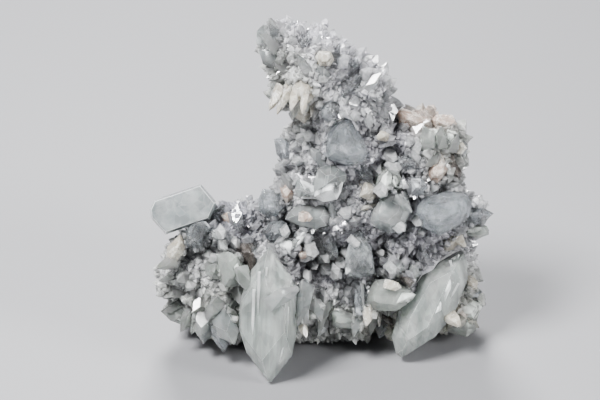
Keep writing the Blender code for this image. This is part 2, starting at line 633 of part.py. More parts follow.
def coat_places(rock, draw):
    """Places spread over the rock's surface, in millimetres, with the way each faces."""
    solid = bmesh.new()
    solid.from_mesh(rock.data)
    bmesh.ops.triangulate(solid, faces=solid.faces)
    faces = solid.faces[:]
    areas = [face.calc_area() for face in faces]
    for face in draw.choices(faces, areas, k=DRUSE_TRIES):
        a, b = sorted((draw.random(), draw.random()))
        first, second, third = (vert.co / MM for vert in face.verts)
        yield first * a + second * (b - a) + third * (1 - b), face.normal.copy()
    solid.free()


def coat_crystals(rock, crystals):
    """Small crystals over the whole rock, clear of the named ones and of the floor."""
    draw = random.Random(DRUSE_SEED)
    coat = []
    for place, lean, length, width in OUTLINE_TIPS:
        nod = draw.uniform(*OUTLINE_TIP_NOD)
        twist = draw.uniform(*DRUSE_TWIST)
        wide = width * OUTLINE_TIP_WIDENING
        tip = seen(*place) + heading_vector(lean, nod) * OUTLINE_TIP_BLUNT
        coat.append(crystal_faces(tip, lean, nod, length, wide, twist, blunt=OUTLINE_TIP_BLUNT))
    for rim, back, front, rear in OUTLINE_PLATES:
        coat.append(outline_faces(rim, back, front, rear, OUTLINE_PLATE_BEVEL))
    roots = []
    for root, normal in coat_places(rock, draw):
        length, width = draw.uniform(*DRUSE_LENGTH), draw.uniform(*DRUSE_WIDTH)
        axis = normal + Vector(draw.uniform(-DRUSE_SPLAY, DRUSE_SPLAY) for _ in range(3))
        axis.normalize()
        tip = root + axis * length * (1 - DRUSE_ROOT)
        if len(roots) == DRUSE_COUNT:
            break
        if tip.z < DRUSE_LOWEST or root.z < DRUSE_LOWEST + width / 2:
            continue
        if any((root - other).length < DRUSE_SPACING for other in roots):
            continue
        neck = tip - axis * width * DRUSE_TIP_CLEARANCE
        if any(inside(neck, faces, width * DRUSE_SIDE_CLEARANCE) for faces in crystals):
            continue
        lean = math.degrees(math.atan2(axis.dot(RIGHT), axis.dot(UP)))
        nod = math.degrees(math.asin(axis.dot(OUT)))
        twist = draw.uniform(*DRUSE_TWIST)
        roots.append(root)
        coat.append(crystal_faces(tip, lean, nod, length, width, twist, blunt=DRUSE_BLUNT))
    return coat


def grow_matrix(crystals, finish):
    """The rock with its coat of small crystals, and a seat in it for each named crystal."""
    rough = random.Random(ROCK_SEED)
    lumps = [rock_lump(name, *shape, rough) for name, shape in ROCK_LUMPS.items()]
    matrix = lumps[0]
    matrix.name = "matrix"
    boolean(matrix, lumps[1:], "UNION")
    coat = coat_crystals(matrix, crystals)
    origin = Vector((0, 0, 0))
    boolean(matrix, [add_solid("coat", cut_from_blank(f), origin) for f in coat], "UNION")
    seats = [add_solid("seat", cut_from_blank(f, GAP), origin) for f in crystals]
    boolean(matrix, seats, "DIFFERENCE")
    keep_largest_body(matrix)
    matrix.data.materials.clear()
    matrix.data.materials.append(finish)


def clear_scene():
    """Removes whatever the file holds."""
    for piece in list(bpy.data.objects):
        bpy.data.objects.remove(piece, do_unlink=True)


clear_scene()
all_finishes = {name: make_finish(name) for name in FINISHES}
named_crystals = grow_crystals(all_finishes)
grow_matrix(named_crystals, all_finishes["druse"])
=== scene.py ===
import math
import random

import bmesh
import bpy
import numpy as np
from mathutils import Matrix, Vector
from mathutils.bvhtree import BVHTree
from mathutils.kdtree import KDTree


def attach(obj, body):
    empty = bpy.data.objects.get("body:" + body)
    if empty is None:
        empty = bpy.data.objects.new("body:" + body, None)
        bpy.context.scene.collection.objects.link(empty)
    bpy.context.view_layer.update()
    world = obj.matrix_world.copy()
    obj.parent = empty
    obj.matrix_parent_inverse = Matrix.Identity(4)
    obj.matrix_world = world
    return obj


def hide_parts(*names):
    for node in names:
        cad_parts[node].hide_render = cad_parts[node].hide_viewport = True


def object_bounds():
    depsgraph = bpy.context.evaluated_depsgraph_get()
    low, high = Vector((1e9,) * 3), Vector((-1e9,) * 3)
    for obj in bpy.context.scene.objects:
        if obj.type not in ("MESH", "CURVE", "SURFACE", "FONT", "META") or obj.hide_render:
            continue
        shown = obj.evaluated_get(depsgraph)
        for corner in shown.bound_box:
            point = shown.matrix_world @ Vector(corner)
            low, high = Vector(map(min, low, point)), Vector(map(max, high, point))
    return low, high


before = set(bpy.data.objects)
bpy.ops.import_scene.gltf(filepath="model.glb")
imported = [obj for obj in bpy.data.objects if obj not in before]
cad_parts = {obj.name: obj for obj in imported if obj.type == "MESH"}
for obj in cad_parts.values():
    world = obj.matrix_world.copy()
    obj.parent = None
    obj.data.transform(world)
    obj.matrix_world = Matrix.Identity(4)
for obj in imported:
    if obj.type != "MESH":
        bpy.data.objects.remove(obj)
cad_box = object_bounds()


# The view. A long lens looks at the show side from 25 degrees above level, 80 cm away, and
# takes in 20 cm. Places on the show side are given on a sheet across this view, as (across,
# up) in metres from the point under the specimen's middle.
LOOK_DOWN = math.radians(25)
EYE_DISTANCE = 0.8
VIEW_WIDTH = 0.2
SHEET_MIDDLE = (-0.005, 0.0467)
RIGHT = Vector((1, 0, 0))
UP = Vector((0, math.sin(LOOK_DOWN), math.cos(LOOK_DOWN)))
OUT = Vector((0, -math.cos(LOOK_DOWN), math.sin(LOOK_DOWN)))
EYE = RIGHT * SHEET_MIDDLE[0] + UP * SHEET_MIDDLE[1] + OUT * EYE_DISTANCE
SENSOR_WIDTH = 36

camera_data = bpy.data.cameras.new("camera")
camera_data.sensor_width = SENSOR_WIDTH
camera_data.lens = SENSOR_WIDTH * EYE_DISTANCE / VIEW_WIDTH
camera = bpy.data.objects.new("camera", camera_data)
camera.location = EYE
camera.rotation_euler = (-OUT).to_track_quat("-Z", "Y").to_euler()
bpy.context.scene.collection.objects.link(camera)
bpy.context.scene.camera = camera


# The floor: a wide pale sheet of matt card that runs level under the specimen and curves up
# all round, far behind it, so that no edge of it shows from any side.
FLOOR_RADIUS = 1.7
FLOOR_CURVE = 0.9
floor_profile = bmesh.new()
ring = [floor_profile.verts.new((0, 0, 0)), floor_profile.verts.new((FLOOR_RADIUS, 0, 0))]
for step in range(1, 13):
    angle = math.radians(90) * step / 12
    rise = FLOOR_CURVE * (1 - math.cos(angle))
    ring.append(floor_profile.verts.new((FLOOR_RADIUS + FLOOR_CURVE * math.sin(angle), 0, rise)))
for inner, outer in zip(ring, ring[1:]):
    floor_profile.edges.new((inner, outer))
bmesh.ops.spin(
    floor_profile,
    geom=floor_profile.verts[:] + floor_profile.edges[:],
    cent=(0, 0, 0),
    axis=(0, 0, 1),
    angle=math.radians(360),
    steps=72,
    use_merge=True,
)
bmesh.ops.remove_doubles(floor_profile, verts=floor_profile.verts, dist=0.0001)
bmesh.ops.recalc_face_normals(floor_profile, faces=floor_profile.faces)
floor_mesh = bpy.data.meshes.new("floor")
floor_profile.to_mesh(floor_mesh)
floor_profile.free()
for face in floor_mesh.polygons:
    face.use_smooth = True
if floor_mesh.polygons[0].normal.z < 0:
    floor_mesh.flip_normals()
floor = bpy.data.objects.new("floor", floor_mesh)
bpy.context.scene.collection.objects.link(floor)

card = bpy.data.materials.new("pale_card")
card.use_nodes = True
card_shader = card.node_tree.nodes["Principled BSDF"]
card_shader.inputs["Base Color"].default_value = (0.25, 0.25, 0.26, 1)
card_shader.inputs["Roughness"].default_value = 0.6
floor_mesh.materials.append(card)

# The light: a large soft box from the upper left, a weaker one from the right, and a narrow
# one from behind that lights the clear crystals through. What is overhead stays dim.
SOFT_BOXES = (
    ("key", (-0.50, -0.45, 0.95), 0.35, 31.0),
    ("side", (0.85, -0.45, 0.40), 0.3, 11.0),
    ("behind", (-0.1, 0.75, 0.80), 0.35, 16.0),
)
AIM = Vector((0, 0, 0.05))
for name, place, size, power in SOFT_BOXES:
    lamp_data = bpy.data.lights.new(name, "AREA")
    lamp_data.shape = "SQUARE"
    lamp_data.size = size
    lamp_data.energy = power
    lamp = bpy.data.objects.new(name, lamp_data)
    lamp.location = place
    lamp.rotation_euler = (AIM - Vector(place)).to_track_quat("-Z", "Y").to_euler()
    bpy.context.scene.collection.objects.link(lamp)
room = bpy.data.worlds.new("room")
room.use_nodes = True
room.node_tree.nodes["Background"].inputs["Color"].default_value = (0.30, 0.32, 0.36, 1)
room.node_tree.nodes["Background"].inputs["Strength"].default_value = 0.36
bpy.context.scene.world = room
bpy.context.scene.view_settings.look = "AgX - Medium High Contrast"


# The rock under the crystals: a blue-grey body with its coat of short crystals. Where it lies
# open it is pale, and in its clefts painted shade makes it darker, more so where the druse is
# violet than where it is pale green.
MM = 0.001
ZONES = (  # kind, middle (across, up) and radius in millimetres
    ("pale", (-42, 12), 13),
    ("pale", (-30, 3), 13),
    ("pale", (-24, 14), 8),
    ("pale", (0, 6), 12),
    ("pale", (18, 6), 12),
    ("cream", (22, 5), 5),
    ("pale", (48, 14), 9),
    ("cream", (47, 6), 6),
    ("violet", (31, 27), 12),
    ("violet", (12, 21), 9),
    ("violet", (0, 25), 8),
    # Painted shade: a greyer band under the far top edge on the left, standing for a shaded
    # recess.
    ("shaded_band", (-27, 43), 8),
    ("grey", (-40, 25), 7),
    ("grey", (-10, 50), 9),
    ("violet", (12, 62), 7),
    ("violet", (26, 62), 8),
    ("pale", (42, 66), 9),
    ("peach", (38, 73), 5),
    ("grey", (10, 78), 12),
    ("violet", (8, 88), 6),
    ("violet", (14, 95), 8),
    ("violet", (-6, 101), 8),
    ("pale", (-14, 92), 8),
    ("pale", (-8, 82), 9),
)
ZONE_TINTS = {  # tint, and how bright painted shade leaves its deepest clefts
    "pale": ((0.99, 1.00, 0.95), 0.92),
    "grey": ((0.96, 0.96, 0.97), 0.80),
    "violet": ((0.91, 0.90, 0.94), 0.72),
    # The tint of the painted shade band, and how bright it stays in its clefts.
    "shaded_band": ((0.68, 0.68, 0.73), 0.50),
    "cream": ((1.00, 0.93, 0.78), 0.60),
    "peach": ((1.00, 0.82, 0.70), 0.50),
}
PLAIN_ZONE_WEIGHT = 0.12


def tint_with_painted_shade(place, open_share):
    """The colour of a place on the specimen: its zone's tint, in painted shade the less open it
    is.
    """
    across, up = place.dot(RIGHT) / MM, place.dot(UP) / MM
    tints = [(*ZONE_TINTS["grey"], PLAIN_ZONE_WEIGHT)]
    for kind, (zone_across, zone_up), radius in ZONES:
        apart = ((across - zone_across) ** 2 + (up - zone_up) ** 2) / radius**2
        tints.append((*ZONE_TINTS[kind], math.exp(-apart)))
    total = sum(weight for _, _, weight in tints)
    tint = sum(np.array(colour) * weight for colour, _, weight in tints) / total
    cleft = sum(darkest * weight for _, darkest, weight in tints) / total
    return tint * (cleft + (1 - cleft) * open_share)


def merged_copy(node):
    """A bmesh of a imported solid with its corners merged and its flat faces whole."""
    solid = bmesh.new()
    solid.from_mesh(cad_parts[node].data)
    bmesh.ops.remove_doubles(solid, verts=solid.verts, dist=0.002 * MM)
    bmesh.ops.dissolve_limit(
        solid, angle_limit=math.radians(0.6), verts=solid.verts[:], edges=solid.edges[:]
    )
    return solid


def solid_tree(nodes):
    """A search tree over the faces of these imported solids."""
    together = bmesh.new()
    for node in nodes:
        together.from_mesh(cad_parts[node].data)
    tree = BVHTree.FromBMesh(together)
    together.free()
    return tree


single_crystals = sorted(set(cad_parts) - {"matrix"})
crystal_tree = solid_tree(single_crystals)
whole_tree = solid_tree(["matrix", *single_crystals])


def openness(place, normal, reach=14 * MM, rays=14):
    """How much of what faces a place on the specimen is open, from 0 to 1."""
    look = random.Random(1)
    free = 0
    for _ in range(rays):
        way = Vector([look.gauss(0, 1) for _ in range(3)]).normalized()
        if way.dot(normal) < 0:
            way = -way
        if whole_tree.ray_cast(place + normal * 0.4 * MM, way, reach)[0] is None:
            free += 1
    return free / rays


def growth_effect():
    """Node group: clouds, shards and cracks inside a crystal, and the relief of its faces."""
    group = bpy.data.node_groups.new("growth", "ShaderNodeTree")
    group.interface.new_socket("Vector", in_out="INPUT", socket_type="NodeSocketVector")
    for name, value in (
        ("Cloud Size", 5.0),
        ("Cloud Detail", 7.0),
        ("Shard Size", 2.4),
        ("Grain Size", 0.6),
    ):
        socket = group.interface.new_socket(name, in_out="INPUT", socket_type="NodeSocketFloat")
        socket.default_value = value
    for name in ("Cloud", "Shard", "Crack", "Height"):
        group.interface.new_socket(name, in_out="OUTPUT", socket_type="NodeSocketFloat")
    nodes, links = group.nodes, group.links
    entry = nodes.new("NodeGroupInput")
    leave = nodes.new("NodeGroupOutput")

    def scale_from(size):
        """The pattern scale for a size in millimetres."""
        divide = nodes.new("ShaderNodeMath")
        divide.operation = "DIVIDE"
        divide.inputs[0].default_value = 1 / MM
        links.new(entry.outputs[size], divide.inputs[1])
        return divide.outputs["Value"]

    def masked(value, low, high):
        """A soft mask of a value between two levels."""
        ramp = nodes.new("ShaderNodeMapRange")
        ramp.interpolation_type = "SMOOTHSTEP"
        ramp.inputs["From Min"].default_value = low
        ramp.inputs["From Max"].default_value = high
        links.new(value, ramp.inputs["Value"])
        return ramp.outputs["Result"]

    cloud = nodes.new("ShaderNodeTexNoise")
    cloud.inputs["Roughness"].default_value = 0.6
    cloud.inputs["Distortion"].default_value = 0.4
    links.new(entry.outputs["Cloud Detail"], cloud.inputs["Detail"])
    links.new(entry.outputs["Vector"], cloud.inputs["Vector"])
    links.new(scale_from("Cloud Size"), cloud.inputs["Scale"])
    links.new(masked(cloud.outputs["Fac"], 0.38, 0.66), leave.inputs["Cloud"])

    shard = nodes.new("ShaderNodeTexVoronoi")
    links.new(entry.outputs["Vector"], shard.inputs["Vector"])
    links.new(scale_from("Shard Size"), shard.inputs["Scale"])
    apart = nodes.new("ShaderNodeSeparateColor")
    links.new(shard.outputs["Color"], apart.inputs["Color"])
    links.new(apart.outputs["Red"], leave.inputs["Shard"])
    rim = nodes.new("ShaderNodeTexVoronoi")
    rim.feature = "DISTANCE_TO_EDGE"
    links.new(entry.outputs["Vector"], rim.inputs["Vector"])
    links.new(scale_from("Shard Size"), rim.inputs["Scale"])
    line = masked(rim.outputs["Distance"], 0.06, 0.0)
    some = masked(apart.outputs["Green"], 0.55, 0.6)
    crack = nodes.new("ShaderNodeMath")
    crack.operation = "MULTIPLY"
    links.new(line, crack.inputs[0])
    links.new(some, crack.inputs[1])
    links.new(crack.outputs["Value"], leave.inputs["Crack"])

    grain = nodes.new("ShaderNodeTexNoise")
    grain.inputs["Detail"].default_value = 3
    links.new(entry.outputs["Vector"], grain.inputs["Vector"])
    links.new(scale_from("Grain Size"), grain.inputs["Scale"])
    links.new(grain.outputs["Fac"], leave.inputs["Height"])
    return group


growth = growth_effect()
CRYSTAL_IOR = 1.535
GLOW_DEPTH = 2.5 * MM
DRAWN_OUT = (1, 1, 0.14)


def crystal_material(
    name, clear, clouded, transmission, roughness, cloud=5.0, glow=0.6, tint=None, lie=None
):
    """Crystal that lets some light through plainly and is clouded and cracked in places.

    Its colour runs from clear to clouded in clouds of cloud millimetres, and its roughness from
    the first value to the second. The clouds are drawn out along a crystal that lies turned by
    the angles of lie. tint is the colour that its inside gives the light, and how densely.
    """
    made = bpy.data.materials.new(name)
    made.use_nodes = True
    nodes, links = made.node_tree.nodes, made.node_tree.links
    shader = nodes["Principled BSDF"]
    shader.inputs["Transmission Weight"].default_value = transmission
    shader.inputs["IOR"].default_value = CRYSTAL_IOR
    shader.inputs["Metallic"].default_value = 0.0
    shader.inputs["Subsurface Weight"].default_value = glow
    shader.inputs["Subsurface Radius"].default_value = (1, 1, 1)
    shader.inputs["Subsurface Scale"].default_value = GLOW_DEPTH
    if tint is not None:
        inside = nodes.new("ShaderNodeVolumeAbsorption")
        inside.inputs["Color"].default_value = (*tint[:3], 1)
        inside.inputs["Density"].default_value = tint[3]
        links.new(inside.outputs["Volume"], nodes["Material Output"].inputs["Volume"])
    where = nodes.new("ShaderNodeTexCoord")
    turn = nodes.new("ShaderNodeMapping")
    if lie is not None:
        turn.inputs["Rotation"].default_value = lie
        turn.inputs["Scale"].default_value = DRAWN_OUT
    links.new(where.outputs["Object"], turn.inputs["Vector"])
    effect = nodes.new("ShaderNodeGroup")
    effect.node_tree = growth
    effect.inputs["Cloud Size"].default_value = cloud
    effect.inputs["Shard Size"].default_value = cloud * 0.45
    links.new(turn.outputs["Vector"], effect.inputs["Vector"])

    def blend(kind, factor, first, second):
        """Two colours mixed, each a colour or an output."""
        mix = nodes.new("ShaderNodeMix")
        mix.data_type = "RGBA"
        mix.blend_type = kind
        for index, value in ((0, factor), (6, first), (7, second)):
            socket = mix.inputs[index]
            if isinstance(value, bpy.types.NodeSocket):
                links.new(value, socket)
            elif isinstance(value, tuple):
                socket.default_value = (*value, 1)
            else:
                socket.default_value = value
        return mix.outputs[2]

    def between(value, low, high):
        """A mask stretched to run from low to high."""
        ramp = nodes.new("ShaderNodeMapRange")
        ramp.inputs["To Min"].default_value = low
        ramp.inputs["To Max"].default_value = high
        links.new(value, ramp.inputs["Value"])
        return ramp.outputs["Result"]

    base = blend("MIX", effect.outputs["Cloud"], clear, clouded)
    shaded = blend("MULTIPLY", 1.0, base, between(effect.outputs["Shard"], 0.8, 1.08))
    cracked = blend("MIX", between(effect.outputs["Crack"], 0.0, 0.45), shaded, (0.97, 0.98, 0.98))
    # The base colour is multiplied by a per-corner attribute: random differences, painted shade in
    # less open places, and edge bands at full brightness.
    tone_and_shade = nodes.new("ShaderNodeAttribute")
    tone_and_shade.attribute_name = "tone_and_shade"
    toned = blend("MULTIPLY", 1.0, cracked, tone_and_shade.outputs["Color"])
    links.new(toned, shader.inputs["Base Color"])
    links.new(between(effect.outputs["Cloud"], *roughness), shader.inputs["Roughness"])
    bump = nodes.new("ShaderNodeBump")
    bump.inputs["Strength"].default_value = 0.3
    bump.inputs["Distance"].default_value = 0.02 * MM
    links.new(effect.outputs["Height"], bump.inputs["Height"])
    links.new(bump.outputs["Normal"], shader.inputs["Normal"])
    return made


def add_piece(name, solid, material, nodes=(), tones=None):
    """An object of this bmesh or mesh that rides with the specimen and takes a finish."""
    if isinstance(solid, bmesh.types.BMesh):
        mesh = bpy.data.meshes.new(name)
        solid.to_mesh(mesh)
        solid.free()
    else:
        mesh = solid
    attribute = mesh.color_attributes.new(name="tone_and_shade", type="FLOAT_COLOR", domain="CORNER")
    shades = np.ones((len(mesh.loops), 4), np.float32)
    if tones is not None:
        shades[:, :3] = tones
    attribute.data.foreach_set("color", shades.ravel())
    mesh.materials.append(material)
    piece = bpy.data.objects.new(name, mesh)
    bpy.context.scene.collection.objects.link(piece)
    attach(piece, "root")
    if nodes:
        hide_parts(*nodes)
    return piece


ROCK_BEVELLED_FROM = 0.4
ROCK_EDGE = 0.12 * MM
rock = merged_copy("matrix")
bmesh.ops.bevel(
    rock,
    geom=[
        rim
        for rim in rock.edges
        if len(rim.link_faces) == 2 and rim.calc_face_angle(0) > ROCK_BEVELLED_FROM
    ],
    offset=ROCK_EDGE,
    segments=1,
    profile=0.5,
    affect="EDGES",
    material=-1,
    clamp_overlap=True,
)
rock.normal_update()
# Painted shade: each corner of the rock takes its zone's tint, darker the less open it is.
rock_shade = {vert: tint_with_painted_shade(vert.co, openness(vert.co, vert.normal)) for vert in rock.verts}
rock_tones = [rock_shade[corner.vert] for face in rock.faces for corner in face.loops]
druse_finish = crystal_material(
    "druse_grey",
    clear=(0.66, 0.66, 0.68),
    clouded=(0.90, 0.90, 0.90),
    transmission=0.1,
    roughness=(0.03, 0.2),
    cloud=3,
    glow=0.0,
)
add_piece("rock_with_coat", rock, druse_finish, ["matrix"], rock_tones)


# The two large crystals at the front: milky prisms of apophyllite, striped along their length,
# whose lower tips come down to the floor. Each is grown over its imported solid, with chipped
# edges that are white, partly from wear and partly as a painted highlight, and has veils inside:
# two shells of its own form, one within the other.
# The edge bands sit at the top of the faces' range of shades, as a painted highlight along the
# edges.
EDGE_HIGHLIGHT_TONE = 1.0
FACE_TONES = (0.86, 1.0)
BEVELLED_FROM = 0.45
CHIPS = 5
CHIP_DEPTH = 0.55 * MM
VEIL_SIZES = (0.9, 0.6)

# White edge bands: partly wear, partly a painted highlight along the crystal edges.
wear_and_highlight_edge = crystal_material(
    "wear_and_highlight_edge",
    clear=(0.92, 0.94, 0.94),
    clouded=(1.0, 1.0, 1.0),
    transmission=0.45,
    roughness=(0.1, 0.2),
    cloud=3,
    glow=1.0,
)


def stripe(solid, heading, pitch, depth, draw):
    """Fine ridges along a crystal, as growth leaves them: heading is clockwise from up."""
    along = RIGHT * math.sin(math.radians(heading)) + UP * math.cos(math.radians(heading))
    across = along.cross(OUT).normalized()
    spread = [vert.co.dot(across) for vert in solid.verts]
    place = min(spread) + pitch * draw.uniform(0.5, 1.5)
    sunk = []
    while place < max(spread) - pitch * 0.5:
        cut = bmesh.ops.bisect_plane(
            solid,
            geom=solid.verts[:] + solid.edges[:] + solid.faces[:],
            dist=0.001 * MM,
            plane_co=across * place,
            plane_no=across,
        )
        sink = depth * draw.random() ** 2
        sunk += [(part, sink) for part in cut["geom_cut"] if isinstance(part, bmesh.types.BMVert)]
        place += pitch * draw.uniform(0.3, 1.9)
    solid.normal_update()
    for vert, sink in sunk:
        vert.co -= vert.normal * sink


def cut_off(solid, point, normal):
    """Cuts away what lies beyond a plane and closes the crystal with a new flat face."""
    bmesh.ops.bisect_plane(
        solid,
        geom=solid.verts[:] + solid.edges[:] + solid.faces[:],
        dist=0.0005 * MM,
        plane_co=point,
        plane_no=normal,
        clear_outer=True,
    )
    rim = [edge for edge in solid.edges if edge.is_boundary]
    if rim:
        bmesh.ops.holes_fill(solid, edges=rim, sides=0)


def chip(solid, count, depth, draw):
    """Small chipped corners, where a crystal was knocked or grew against another."""
    for _ in range(count):
        solid.normal_update()
        solid.verts.ensure_lookup_table()
        corner = draw.choice(solid.verts[:])
        if corner.normal.dot(OUT) < -0.2 or corner.normal.length < 0.5:
            continue
        lean = Vector([draw.uniform(-0.5, 0.5) for _ in range(3)])
        normal = (corner.normal + lean).normalized()
        cut_off(solid, corner.co - normal * depth * draw.uniform(0.3, 1.0), normal)


def grown_crystal(
    node, material, heading=None, pitch=0.9, depth=0.09, edge=0.14, white_edges=True
):
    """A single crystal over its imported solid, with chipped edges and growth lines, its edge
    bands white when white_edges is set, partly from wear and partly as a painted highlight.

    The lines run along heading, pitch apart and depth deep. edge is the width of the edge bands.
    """
    draw = random.Random(node)
    solid = merged_copy(node)
    chip(solid, CHIPS, CHIP_DEPTH, draw)
    if heading is not None:
        stripe(solid, heading, pitch * MM, depth * MM, draw)
    sharp = [
        rim
        for rim in solid.edges
        if len(rim.link_faces) == 2 and rim.calc_face_angle(0) > BEVELLED_FROM
    ]
    rounded = bmesh.ops.bevel(
        solid,
        geom=sharp,
        offset=edge * MM,
        segments=2,
        profile=0.5,
        affect="EDGES",
        material=-1,
        clamp_overlap=True,
    )
    bmesh.ops.recalc_face_normals(solid, faces=solid.faces)
    edge_bands = {face for face in rounded["faces"] if face.is_valid}
    shades = []
    for face in solid.faces:
        # Edge bands take the second material, white as wear and as a painted highlight.
        face.material_index = int(white_edges and face in edge_bands)
        shade = EDGE_HIGHLIGHT_TONE if face in edge_bands else draw.uniform(*FACE_TONES)
        for corner in face.loops:
            # Painted shade: each corner is darkened by up to three tenths the less open it is.
            lit = 0.7 + 0.3 * openness(corner.vert.co, face.normal, reach=8 * MM, rays=8)
            shades.append((shade * lit,) * 3)
    piece = add_piece(f"{node}_grown", solid, material, [node], shades)
    if white_edges:
        piece.data.materials.append(wear_and_highlight_edge)


def lie_along(heading):
    """The turn of a pattern that is drawn out along a crystal with this heading."""
    along = RIGHT * math.sin(math.radians(heading)) + UP * math.cos(math.radians(heading))
    return tuple(along.rotation_difference(Vector((0, 0, 1))).to_euler())


def veil_material(name, colour, size, shown, lie=None):
    """White veils size millimetres wide, with clear gaps between them; shown is how dense."""
    made = bpy.data.materials.new(name)
    made.use_nodes = True
    nodes, links = made.node_tree.nodes, made.node_tree.links
    shader = nodes["Principled BSDF"]
    shader.inputs["Base Color"].default_value = (*colour, 1)
    shader.inputs["Roughness"].default_value = 0.6
    where = nodes.new("ShaderNodeTexCoord")
    turn = nodes.new("ShaderNodeMapping")
    if lie is not None:
        turn.inputs["Rotation"].default_value = lie
        turn.inputs["Scale"].default_value = DRAWN_OUT
    links.new(where.outputs["Object"], turn.inputs["Vector"])
    effect = nodes.new("ShaderNodeGroup")
    effect.node_tree = growth
    effect.inputs["Cloud Size"].default_value = size
    effect.inputs["Cloud Detail"].default_value = 2.5
    links.new(turn.outputs["Vector"], effect.inputs["Vector"])
    show = nodes.new("ShaderNodeMapRange")
    show.inputs["To Max"].default_value = shown
    links.new(effect.outputs["Cloud"], show.inputs["Value"])
    links.new(show.outputs["Result"], shader.inputs["Alpha"])
    return made


def veils_inside(name, nodes, material):
    """The veils of these crystals as one mesh, each shell turned a little in its crystal."""
    together = bmesh.new()
    draw = random.Random(name)
    for node in nodes:
        for size in VEIL_SIZES:
            shell = merged_copy(node)
            middle = sum((vert.co for vert in shell.verts), Vector()) / len(shell.verts)
            lean = Vector([draw.uniform(-1, 1) for _ in range(3)]).normalized()
            turn = Matrix.Rotation(math.radians(draw.uniform(2, 5)), 3, lean)
            for vert in shell.verts:
                vert.co = middle + turn @ ((vert.co - middle) * size)
            shell_mesh = bpy.data.meshes.new("shell")
            shell.to_mesh(shell_mesh)
            shell.free()
            together.from_mesh(shell_mesh)
            bpy.data.meshes.remove(shell_mesh)
    add_piece(name, together, material)


for node, heading in (("crystal_front_left", 2), ("crystal_front_right", -40)):
    striped = crystal_material(
        node.replace("crystal_front", "milky_striped"),
        clear=(0.74, 0.79, 0.77),
        clouded=(0.99, 1.0, 0.98),
        transmission=0.8,
        roughness=(0.02, 0.14),
        cloud=4,
        glow=1.0,
        tint=(0.86, 0.95, 0.90, 8),
        lie=lie_along(heading),
    )
    grown_crystal(node, striped, heading, pitch=0.8, depth=0.14, edge=0.22)
    veils = veil_material(
        node.replace("crystal_front", "veils"), (0.90, 0.93, 0.91), 3, 0.9, lie_along(heading)
    )
    veils_inside(f"{node}_veils", [node], veils)


# The smooth block on the left: one stout crystal of apophyllite, greyer and clearer than the
# front ones, with flat faces and no stripes. It leans out over the rock that holds its root.
block_finish = crystal_material(
    "smooth_block",
    clear=(0.54, 0.58, 0.59),
    clouded=(0.86, 0.88, 0.88),
    transmission=0.7,
    roughness=(0.0, 0.08),
    cloud=6,
    glow=1.0,
    tint=(0.8, 0.95, 0.88, 8),
)
grown_crystal("block_left", block_finish, edge=0.12)
block_veils = veil_material("veils_block", (0.60, 0.63, 0.63), 7, 0.85, lie_along(2))
veils_inside("block_left_veils", ["block_left"], block_veils)


# The other milky crystals: cloudy apophyllite with smoother faces, in all sizes, rooted in the
# rock all round. The number with each is the heading of its growth lines, where it has any.
MILKY = {
    "mirror_left": None,
    "clear_pair_right": 10,
    "pale_pair_centre": 30,
    "milky_centre": 60,
    "gem_right": None,
    "milky_waist": 8,
    "round_tip_shoulder": None,
    "pale_pair_tower": 0,
    "pendant_front": 18,
    "bright_drop_front": 2,
    "drop_left_middle": 10,
    "drop_left_glassy": -22,
    "tower_spike": -12,
    "back_large": 6,
}
milky_finish = crystal_material(
    "milky_apophyllite",
    clear=(0.78, 0.83, 0.83),
    clouded=(0.97, 0.98, 0.97),
    transmission=0.84,
    roughness=(0.0, 0.06),
    cloud=5,
    glow=1.0,
    tint=(0.86, 0.95, 0.91, 8),
)
for node, heading in MILKY.items():
    grown_crystal(node, milky_finish, heading)
milky_veils = veil_material("milky_veils", (0.90, 0.92, 0.92), 6.0, 0.85)
CLOUDY_TEARDROP = "teardrop_centre"  # a grey-blue crystal with veils as dense as the milky ones
veils_inside("milky_veils", [*MILKY, CLOUDY_TEARDROP], milky_veils)


# The clear crystals: apophyllite with a grey-blue cast and only thin veils, so that the rock
# behind shows through. Their edges are sharper than those of the milky ones.
BLUE_GREY = {
    "blue_grey_left": 20,
    "grey_left_middle": 50,
    "teardrop_centre": 4,
    "grey_right": 70,
    "clear_flank_right": None,
    "glassy_waist": None,
    "clear_edge_waist": 0,
    "glassy_shoulder_left": -20,
    "bluish_tower": None,
    "prism_waist_right": 0,
    "lens_shoulder": 80,
    "pyramid_front": 0,
    "low_drop_right": 20,
    "drop_left_inner": -4,
    "rim_tip_right": 82,
    "back_right": 30,
}
blue_finish = crystal_material(
    "blue_grey_apophyllite",
    clear=(0.84, 0.88, 0.90),
    clouded=(0.98, 0.99, 1.0),
    transmission=0.93,
    roughness=(0.0, 0.08),
    cloud=4,
    glow=1.0,
    tint=(0.78, 0.84, 0.92, 10),
)
for node, heading in BLUE_GREY.items():
    grown_crystal(node, blue_finish, heading, edge=0.1, white_edges=False)
blue_veils = veil_material("blue_grey_veils", (0.86, 0.89, 0.92), 6.0, 0.5)
thinly_veiled = [node for node in BLUE_GREY if node != CLOUDY_TEARDROP]
veils_inside("blue_grey_veils", thinly_veiled, blue_veils)


